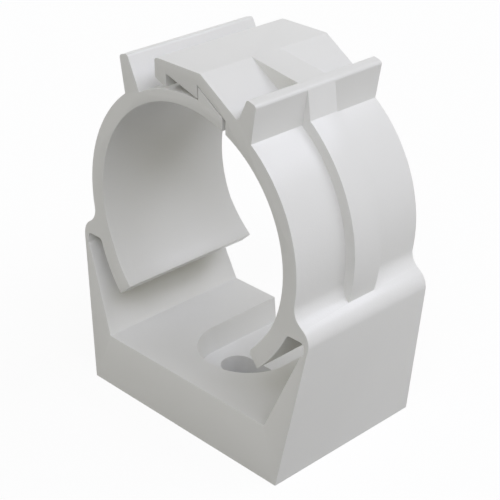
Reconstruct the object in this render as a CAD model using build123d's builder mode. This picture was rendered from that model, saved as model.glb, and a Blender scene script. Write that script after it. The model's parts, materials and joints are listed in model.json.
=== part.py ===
"""Snap pipe clip: one plastic moulding that closes round a pipe and latches on itself.

+Z points away from the wall, the pipe runs along Y, and the origin is the middle of the base's underside.
"""

import os
from math import asin, cos, degrees, radians, sin, sqrt

from build123d import *

# Pipe, arms and lips
pipe_diameter = 32.0
arm_thickness = 2.15
bore_height = 27.4
lip_angle = 46.7
lip_thickness = 2.35
lip_chamfer = 0.35

# Depth along the pipe: straight at the arms, flared towards the base's underside
clip_depth = 20.7
base_depth = 24.3
flare_height = 20.3

# Base: side walls that thicken from the thin hinges down to the floor
base_width = 34.1
floor_width = 28.8
floor_height = 7.1
hinge_thickness = 0.55
hinge_length = 1.45
hinge_groove = 0.45

# Shoulders, where each wall turns over into its arm
shoulder_reach = 2.3
shoulder_drop = 3.65
shoulder_fall = 2.75
shoulder_round = 2.3
neck_round = 2.3
pocket_drop = 7.2
pocket_round = 0.6

# Screw recess, open to the back, and the slotted hole in its floor
recess_floor = 3.2
recess_width = 13.4
slot_width = 4.5
slot_length = 8.7

# Ears for opening and closing the clip
ear_angle = 53.5
ear_root_angle = 62.2
ear_rise = 1.55
ear_lean = 0.8
ear_tip = 1.45
ear_tip_fall = 0.4
ear_round = 0.45

# Latch: the tongue with its tooth on the left arm, the hook on the right arm
latch_gap = 0.18
tongue_thickness = 1.5
tooth_x = 2.25
tooth_height = 1.55
tongue_end_x = 6.15
hook_rise = 2.5
hook_end_x = -5.2
hook_end_width = 1.95
hook_end_lift = 0.8
hook_end_chamfer = 0.72
hook_notch_height = 1.6
hook_face_x = 6.7
crest_x = 2.6
crest_slope = 0.64
hook_round = 0.5
valley_round = 0.4

# Ribs in the middle of the depth
rib_width = 4.5
rib_height = 1.45
gusset_angle = 52.0

bore_radius = pipe_diameter / 2
arm_radius = bore_radius + arm_thickness
lip_radius = bore_radius + lip_thickness
tongue_radius = bore_radius + tongue_thickness
rib_radius = arm_radius + rib_height
arm_middle = bore_radius + arm_thickness / 2
bore_centre = (0, bore_height)
hook_top = bore_height + arm_radius + hook_rise
ear_top = bore_height + arm_radius + ear_rise
shoulder_height = bore_height - shoulder_drop
pocket_top = bore_height - pocket_drop
hinge_foot = pocket_top - hinge_length
shoulder_half = arm_radius + shoulder_reach
shoulder_corner = (shoulder_half, shoulder_height - shoulder_fall)
ear_middle_angle = (ear_angle + ear_root_angle) / 2
rib_start_angle = -degrees(asin((bore_height - (shoulder_corner[1] + pocket_top) / 2) / rib_radius))


def on_circle(radius, angle):
    """Point of the profile on a circle about the bore's centre."""
    return (radius * cos(radians(angle)), bore_height + radius * sin(radians(angle)))


def wall_x(height):
    """Distance of the base's leaning outer wall from the middle, at a height."""
    return base_width / 2 + (shoulder_corner[0] - base_width / 2) * height / shoulder_corner[1]


def tongue_surface(x):
    """Height of the tongue's outer surface at x."""
    return bore_height + sqrt(tongue_radius**2 - x**2)


def ring_sector(inner, outer, start, end):
    """Part of a ring about the bore's centre, between two angles."""
    with BuildSketch() as sector:
        with BuildLine():
            outer_arc = CenterArc(bore_centre, outer, start, end - start)
            inner_arc = CenterArc(bore_centre, inner, start, end - start)
            Line(outer_arc @ 0, inner_arc @ 0)
            Line(outer_arc @ 1, inner_arc @ 1)
        make_face()
    return sector.sketch


ear_root = on_circle(arm_radius, ear_angle)
ear_inner_root = on_circle(arm_middle, ear_root_angle)
ear_outer_tip = (ear_root[0] + ear_lean, ear_top - ear_tip_fall)
ear_inner_tip = (ear_outer_tip[0] - ear_tip, ear_top)
outer_rib_tip = (ear_outer_tip[0], ear_outer_tip[1] - ear_round / 2)
inner_rib_tip = (ear_inner_tip[0], ear_inner_tip[1] - ear_round / 2)
crest = (crest_x, hook_top)
hook_root_x = on_circle(arm_radius, ear_middle_angle)[0]
hook_root = (hook_root_x, hook_top - crest_slope * (hook_root_x - crest_x))
tooth_peak = tongue_surface(tooth_x) + tooth_height
tongue_end_top = tongue_surface(tongue_end_x)
tooth_fall = (tooth_peak - tongue_end_top) / (tongue_end_x - tooth_x)
hook_end_foot = tongue_surface(hook_end_x) + hook_end_lift
hook_notch_x = hook_end_x + hook_end_width
hinge_x = wall_x(hinge_foot) - hinge_thickness
arm_x = sqrt(arm_middle**2 - pocket_drop**2)
pocket_x = sqrt(lip_radius**2 - pocket_drop**2)
shoulder_root_x = sqrt(arm_middle**2 - shoulder_drop**2)
neck = (shoulder_root_x + arm_thickness / 2, shoulder_height)
lip_end = on_circle(bore_radius, -lip_angle)
rounded_corners = [
    (shoulder_corner, shoulder_round),
    (neck, neck_round),
    ((hinge_x, pocket_top), pocket_round),
    ((pocket_x, pocket_top), pocket_round),
    (ear_outer_tip, ear_round),
    (ear_inner_tip, ear_round),
]

with BuildPart() as clamp_body:
    # Outline across the pipe
    with BuildSketch(Plane.XZ) as outline:
        # Right half of the floor, wall and shoulder
        Polygon(
            (0, 0),
            (base_width / 2, 0),
            shoulder_corner,
            (shoulder_root_x, shoulder_height),
            (arm_x, pocket_top),
            (hinge_x, pocket_top),
            (hinge_x, hinge_foot),
            (hinge_x - hinge_groove, hinge_foot - hinge_groove),
            (floor_width / 2, floor_height),
            (0, floor_height),
            align=None,
        )
        # Right arm with its lip, from the lip's end to the latch
        add(ring_sector(bore_radius, lip_radius, -lip_angle, rib_start_angle))
        add(ring_sector(bore_radius, arm_radius, rib_start_angle, ear_root_angle))
        Polygon(
            on_circle(arm_middle, ear_angle),
            on_circle(arm_radius, ear_angle),
            ear_outer_tip,
            ear_inner_tip,
            ear_inner_root,
            align=None,
        )
        chamfer(outline.vertices().sort_by_distance(lip_end)[0], lip_chamfer)
        for corner, radius in rounded_corners:
            fillet(outline.vertices().sort_by_distance(corner)[0], radius)
        mirror(about=Plane.YZ)

        # Tongue of the left arm, with its tooth
        add(ring_sector(bore_radius, tongue_radius, 90, 180 - ear_root_angle))
        Polygon(
            (0, bore_height),
            (0, tongue_surface(0)),
            (tooth_x, tongue_surface(tooth_x)),
            (tooth_x, tooth_peak),
            (tongue_end_x, tongue_end_top),
            (tongue_end_x, bore_height),
            align=None,
        )

        # Hook of the right arm, over the tooth
        Polygon(
            (hook_face_x, bore_height),
            (hook_face_x, tongue_end_top + latch_gap - tooth_fall * (hook_face_x - tongue_end_x)),
            (tooth_x - latch_gap, tooth_peak + latch_gap + tooth_fall * latch_gap),
            (tooth_x - latch_gap, tongue_surface(tooth_x) + latch_gap),
            (hook_notch_x, hook_end_foot + hook_notch_height),
            (hook_notch_x, hook_end_foot),
            (hook_end_x + 2 * hook_end_chamfer, hook_end_foot),
            (hook_end_x, hook_end_foot + hook_end_chamfer),
            (hook_end_x, hook_top),
            crest,
            hook_root,
            on_circle(arm_middle, ear_angle),
            align=None,
        )
        fillet(outline.vertices().sort_by_distance((hook_end_x, hook_top))[0], hook_round)
        fillet(outline.vertices().sort_by_distance(hook_root)[0], valley_round)

        # The pipe's seat
        with Locations(bore_centre):
            Circle(bore_radius, mode=Mode.SUBTRACT)
    extrude(amount=base_depth / 2, both=True)

    # Ribs round the arms and behind the ears, and between the hook and its ear
    with BuildSketch(Plane.XZ) as ribs:
        add(ring_sector(arm_middle, rib_radius, rib_start_angle, gusset_angle))
        Polygon(
            on_circle(arm_middle, gusset_angle),
            on_circle(rib_radius, gusset_angle),
            outer_rib_tip,
            ear_inner_root,
            align=None,
        )
        mirror(about=Plane.YZ)
        Polygon(crest, hook_root, inner_rib_tip, align=None)
    extrude(amount=rib_width / 2, both=True)

    # Flare of the base's front and back
    with BuildSketch(Plane.YZ) as side:
        Polygon(
            (-base_depth / 2, 0),
            (base_depth / 2, 0),
            (clip_depth / 2, flare_height),
            (clip_depth / 2, hook_top),
            (-clip_depth / 2, hook_top),
            (-clip_depth / 2, flare_height),
            align=None,
        )
    extrude(amount=shoulder_half, both=True, mode=Mode.INTERSECT)

    # Screw recess and slotted hole
    with BuildSketch(Plane.XY.offset(recess_floor)) as recess:
        Circle(recess_width / 2)
        Rectangle(recess_width, base_depth, align=(Align.CENTER, Align.MIN))
    extrude(amount=floor_height, mode=Mode.SUBTRACT)
    with BuildSketch(Plane.XY) as slot:
        SlotOverall(slot_length, slot_width)
    extrude(amount=floor_height, mode=Mode.SUBTRACT)

clamp_body.part.label = "clamp_body"

os.makedirs("parts", exist_ok=True)
export_step(clamp_body.part, "parts/clamp_body.step")
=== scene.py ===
"""Look of a light grey plastic pipe clip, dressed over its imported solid."""

import json
from math import cos, hypot, radians, sin

import bpy
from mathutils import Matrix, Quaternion, Vector

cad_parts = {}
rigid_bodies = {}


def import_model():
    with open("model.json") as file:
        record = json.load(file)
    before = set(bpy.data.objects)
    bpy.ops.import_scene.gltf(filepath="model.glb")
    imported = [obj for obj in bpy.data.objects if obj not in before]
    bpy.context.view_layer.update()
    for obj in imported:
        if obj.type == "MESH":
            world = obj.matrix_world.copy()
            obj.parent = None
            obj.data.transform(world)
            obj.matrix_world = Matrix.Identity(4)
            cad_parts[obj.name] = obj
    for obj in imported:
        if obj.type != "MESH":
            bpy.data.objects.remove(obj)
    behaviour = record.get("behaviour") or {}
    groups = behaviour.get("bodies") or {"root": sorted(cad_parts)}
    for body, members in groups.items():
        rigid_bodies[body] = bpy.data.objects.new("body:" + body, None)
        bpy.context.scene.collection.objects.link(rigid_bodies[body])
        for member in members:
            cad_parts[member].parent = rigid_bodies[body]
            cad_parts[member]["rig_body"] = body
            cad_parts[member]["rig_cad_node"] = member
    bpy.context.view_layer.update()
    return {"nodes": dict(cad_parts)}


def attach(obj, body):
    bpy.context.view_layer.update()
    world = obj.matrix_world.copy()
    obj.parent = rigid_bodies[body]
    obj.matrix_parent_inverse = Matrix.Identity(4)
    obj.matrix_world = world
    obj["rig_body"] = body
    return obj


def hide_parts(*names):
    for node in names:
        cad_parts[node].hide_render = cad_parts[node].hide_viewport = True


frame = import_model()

MM = 0.001

# Camera, as the photograph was taken, its angles in degrees
CAMERA_AZIMUTH = 45.67
CAMERA_ELEVATION = 27.54
CAMERA_ROLL = 0.243
CAMERA_DISTANCE = 174.96 * MM
CAMERA_AIM = Vector((0.916, -0.763, 21.786)) * MM
CAMERA_LENS = 100.55
CAMERA_NEAR = 1.0 * MM
SENSOR_WIDTH = 36.0

# Moulded edges
MERGE_DISTANCE = 0.002 * MM
FLAT_ANGLE = radians(0.5)
EDGE_ROUND = 0.12 * MM
EDGE_SEGMENTS = 3
SHARP_ANGLE = radians(28)
SMOOTH_ANGLE = radians(32)

# Inner edge of the left lip's end, which is sharp where the solid has a chamfer
BORE_RADIUS = 16.0 * MM
BORE_HEIGHT = 27.4 * MM
LIP_ANGLE = radians(47.4)
CHAMFER_REACH = 0.6 * MM
CHAMFER_MERGE = 0.06 * MM

# Finish of the plastic: a cloud in its grey and a fine grain
PLASTIC_GREY = (0.77, 0.767, 0.75, 1.0)
PLASTIC_SHADE = (0.742, 0.74, 0.722, 1.0)
PLASTIC_SHINE = 0.3
PLASTIC_ROUGHNESS = 0.30
ROUGHNESS_SPREAD = 0.08
CLOUD_SIZE = 9.0 * MM
CLOUD_DETAIL = 3.0
CLOUD_ROUGHNESS = 0.5
CLOUD_MIDDLE = 0.5
GRAIN_SIZE = 0.22 * MM
GRAIN_DETAIL = 2.0
GRAIN_ROUGHNESS = 0.6
GRAIN_DEPTH = 0.010 * MM

# Pale floor, seen brighter than it lights the clip
FLOOR_SIZE = 3.0
FLOOR_LEVEL = 0.02 * MM
FLOOR_SEEN = (0.98, 0.98, 0.98, 1.0)
FLOOR_BOUNCE = (0.315, 0.315, 0.32, 1.0)
FLOOR_GLOW = 0.92

# Studio: a warm sky that dims overhead, plain light for the underside, cool soft lamps in a curve
# round the right side and a low one that fills the left side, the lamps' places in degrees
WHITE = (1.0, 1.0, 1.0, 1.0)
SKY = (0.52, 0.507, 0.41, 1.0)
SKY_TOP = (0.02, 0.02, 0.02, 1.0)
UNDER_FLOOR = (0.58, 0.58, 0.6, 1.0)
HORIZON = 0.0
DIM_FROM = 0.5
STRAIGHT_UP = 1.0
LAMP_COLOUR = (0.86, 0.875, 1.0)
CURVE_AZIMUTHS = (-60, -30, 0, 30, 60)
CURVE_ELEVATION = 46
CURVE_STRENGTH = 0.505
CURVE_SPREAD = radians(22)
FILL_AZIMUTH = 180
FILL_ELEVATION = 10
FILL_STRENGTH = 0.85
FILL_SPREAD = radians(40)


class Socket:
    """A node's output, with sums on it written as Python expressions."""

    def __init__(self, tree, output):
        self.tree = tree
        self.output = output

    def math(self, operation, first, second):
        return self.tree.add("ShaderNodeMath", {"operation": operation}, {0: first, 1: second})

    def __add__(self, other):
        return self.math("ADD", self, other)

    def __sub__(self, other):
        return self.math("SUBTRACT", self, other)

    def __mul__(self, other):
        return self.math("MULTIPLY", self, other)

    def __lt__(self, other):
        return self.math("LESS_THAN", self, other)

    # The same with a number on the left
    __radd__ = __add__
    __rmul__ = __mul__

    def __rsub__(self, other):
        return self.math("SUBTRACT", other, self)

    def __gt__(self, other):
        return self.math("GREATER_THAN", self, other)


class Tree:
    """The node tree of one material or world."""

    def __init__(self, owner):
        owner.use_nodes = True
        self.nodes = owner.node_tree.nodes
        self.links = owner.node_tree.links
        self.nodes.clear()

    def add(self, kind, settings=None, inputs=None, output=0):
        """A new node: its settings, then the values or links of its sockets."""
        node = self.nodes.new(kind)
        for name, value in (settings or {}).items():
            setattr(node, name, value)
        for name, value in (inputs or {}).items():
            if isinstance(value, Socket):
                self.links.new(value.output, node.inputs[name])
            else:
                node.inputs[name].default_value = value
        return Socket(self, node.outputs[output]) if node.outputs else None

    def blend(self, share, first, second):
        """The first colour, giving way to the second by a share from nought to one."""
        return self.add("ShaderNodeMix", {"data_type": "RGBA"}, {0: share, 6: first, 7: second}, output=2)


def moulded_plastic():
    """Satin plastic straight from the mould: a faint cloud in the grey and a fine grain."""
    material = bpy.data.materials.new("light_grey_plastic_finish")
    tree = Tree(material)
    place = tree.add("ShaderNodeTexCoord", output="Object")
    cloud = tree.add(
        "ShaderNodeTexNoise",
        inputs={
            "Vector": place,
            "Scale": 1 / CLOUD_SIZE,
            "Detail": CLOUD_DETAIL,
            "Roughness": CLOUD_ROUGHNESS,
        },
    )
    grain = tree.add(
        "ShaderNodeTexNoise",
        inputs={
            "Vector": place,
            "Scale": 1 / GRAIN_SIZE,
            "Detail": GRAIN_DETAIL,
            "Roughness": GRAIN_ROUGHNESS,
        },
    )
    surface = tree.add(
        "ShaderNodeBsdfPrincipled",
        inputs={
            "Base Color": tree.blend(cloud, PLASTIC_SHADE, PLASTIC_GREY),
            "Roughness": PLASTIC_ROUGHNESS + (cloud - CLOUD_MIDDLE) * ROUGHNESS_SPREAD,
            "Specular IOR Level": PLASTIC_SHINE,
            "Normal": tree.add(
                "ShaderNodeBump", inputs={"Strength": 1.0, "Distance": GRAIN_DEPTH, "Height": grain}
            ),
        },
    )
    tree.add("ShaderNodeOutputMaterial", inputs={"Surface": surface})
    return material


def sharpen_lip(clip):
    """Draw the chamfer at the end of the left lip together into one sharp edge."""
    lip_edge = Vector((-BORE_RADIUS * cos(LIP_ANGLE), 0, BORE_HEIGHT - BORE_RADIUS * sin(LIP_ANGLE)))
    bpy.ops.mesh.select_all(action="DESELECT")
    bpy.ops.object.mode_set(mode="OBJECT")
    for vertex in clip.data.vertices:
        away = vertex.co - lip_edge
        vertex.select = hypot(away.x, away.z) < CHAMFER_REACH
    bpy.ops.object.mode_set(mode="EDIT")
    bpy.ops.transform.resize(value=(0, 1, 0), center_override=lip_edge)
    bpy.ops.mesh.remove_doubles(threshold=CHAMFER_MERGE)


def dress_clip():
    """The clip with a sharp left lip and its moulded edges slightly rounded."""
    node = frame["nodes"]["clamp_body"]
    bpy.ops.object.select_all(action="DESELECT")
    node.select_set(True)
    bpy.context.view_layer.objects.active = node
    bpy.ops.object.duplicate()
    clip = bpy.context.view_layer.objects.active
    clip.name = "clip_moulding"
    # The copy is a piece of its own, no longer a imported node
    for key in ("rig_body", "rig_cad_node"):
        del clip[key]
    bpy.ops.object.parent_clear(type="CLEAR_KEEP_TRANSFORM")
    bpy.ops.object.mode_set(mode="EDIT")
    bpy.ops.mesh.select_all(action="SELECT")
    bpy.ops.mesh.remove_doubles(threshold=MERGE_DISTANCE)
    sharpen_lip(clip)
    bpy.ops.mesh.select_all(action="SELECT")
    bpy.ops.mesh.dissolve_limited(angle_limit=FLAT_ANGLE)
    bpy.ops.object.mode_set(mode="OBJECT")
    edge = clip.modifiers.new("edges", "BEVEL")
    edge.width = EDGE_ROUND
    edge.segments = EDGE_SEGMENTS
    edge.limit_method = "ANGLE"
    edge.angle_limit = SHARP_ANGLE
    edge.miter_outer = "MITER_ARC"
    edge.use_clamp_overlap = True
    bpy.ops.object.modifier_apply(modifier=edge.name)
    bpy.ops.object.shade_smooth_by_angle(angle=SMOOTH_ANGLE)
    clip.data.materials.clear()
    clip.data.materials.append(moulded_plastic())
    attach(clip, "root")
    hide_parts("clamp_body")


def seen_rays(tree):
    """One where the camera sees a surface, straight or in a reflection, and nought where it only lights."""
    direct = tree.add("ShaderNodeLightPath", output="Is Camera Ray")
    glossy = tree.add("ShaderNodeLightPath", output="Is Glossy Ray")
    through = tree.add("ShaderNodeLightPath", output="Is Transmission Ray")
    return direct + glossy + through


def white_floor():
    """Plain pale floor, a hair above the clip's underside, so that the underside shows from below."""
    bpy.ops.mesh.primitive_plane_add(size=FLOOR_SIZE, location=(0, 0, FLOOR_LEVEL))
    floor = bpy.context.object
    floor.name = "floor"
    material = bpy.data.materials.new("floor_white")
    tree = Tree(material)
    seen = seen_rays(tree)
    matt = tree.add("ShaderNodeBsdfDiffuse", inputs={"Color": tree.blend(seen, FLOOR_BOUNCE, FLOOR_SEEN)})
    glow = tree.add("ShaderNodeEmission", inputs={"Color": WHITE, "Strength": 1.0})
    surface = tree.add("ShaderNodeMixShader", inputs={0: seen * FLOOR_GLOW, 1: matt, 2: glow})
    tree.add("ShaderNodeOutputMaterial", inputs={"Surface": surface})
    floor.data.materials.append(material)


def soft_lamp(name, azimuth, elevation, strength, spread):
    """A broad soft lamp far off, its azimuth counted from +X towards +Y."""
    turn = radians(azimuth)
    rise = radians(elevation)
    toward_lamp = Vector((cos(turn) * cos(rise), sin(turn) * cos(rise), sin(rise)))
    bpy.ops.object.light_add(type="SUN", location=toward_lamp)
    lamp = bpy.context.object
    lamp.name = name
    lamp.rotation_mode = "QUATERNION"
    lamp.rotation_quaternion = (-toward_lamp).to_track_quat("-Z", "Y")
    lamp.data.angle = spread
    lamp.data.energy = strength
    lamp.data.color = LAMP_COLOUR


def studio_light():
    """Surroundings that are white where they are seen, and the soft lamps."""
    world = bpy.data.worlds.new("studio")
    bpy.context.scene.world = world
    tree = Tree(world)
    direction = tree.add("ShaderNodeTexCoord", output="Generated")
    height = tree.add("ShaderNodeSeparateXYZ", inputs={0: direction}, output="Z")
    overhead = tree.add(
        "ShaderNodeMapRange", inputs={"Value": height, "From Min": DIM_FROM, "From Max": STRAIGHT_UP}
    )
    sky = tree.blend(overhead, SKY, SKY_TOP)
    around = tree.blend(height < HORIZON, sky, UNDER_FLOOR)
    colour = tree.blend(seen_rays(tree), around, WHITE)
    background = tree.add("ShaderNodeBackground", inputs={"Color": colour, "Strength": 1.0})
    tree.add("ShaderNodeOutputWorld", inputs={"Surface": background})
    for azimuth in CURVE_AZIMUTHS:
        soft_lamp(f"curve_lamp_{azimuth}", azimuth, CURVE_ELEVATION, CURVE_STRENGTH, CURVE_SPREAD)
    soft_lamp("fill_lamp", FILL_AZIMUTH, FILL_ELEVATION, FILL_STRENGTH, FILL_SPREAD)


def photo_camera():
    """Camera at the photograph's angle."""
    azimuth = radians(CAMERA_AZIMUTH)
    elevation = radians(CAMERA_ELEVATION)
    back = Vector((sin(azimuth) * cos(elevation), -cos(azimuth) * cos(elevation), sin(elevation)))
    bpy.ops.object.camera_add(location=CAMERA_AIM + back * CAMERA_DISTANCE)
    camera = bpy.context.object
    camera.rotation_mode = "QUATERNION"
    level = (-back).to_track_quat("-Z", "Y")
    camera.rotation_quaternion = level @ Quaternion((0, 0, 1), radians(CAMERA_ROLL))
    camera.data.sensor_width = SENSOR_WIDTH
    camera.data.lens = CAMERA_LENS
    camera.data.clip_start = CAMERA_NEAR
    bpy.context.scene.camera = camera


dress_clip()
white_floor()
studio_light()
photo_camera()
bpy.context.scene.view_settings.view_transform = "Standard"
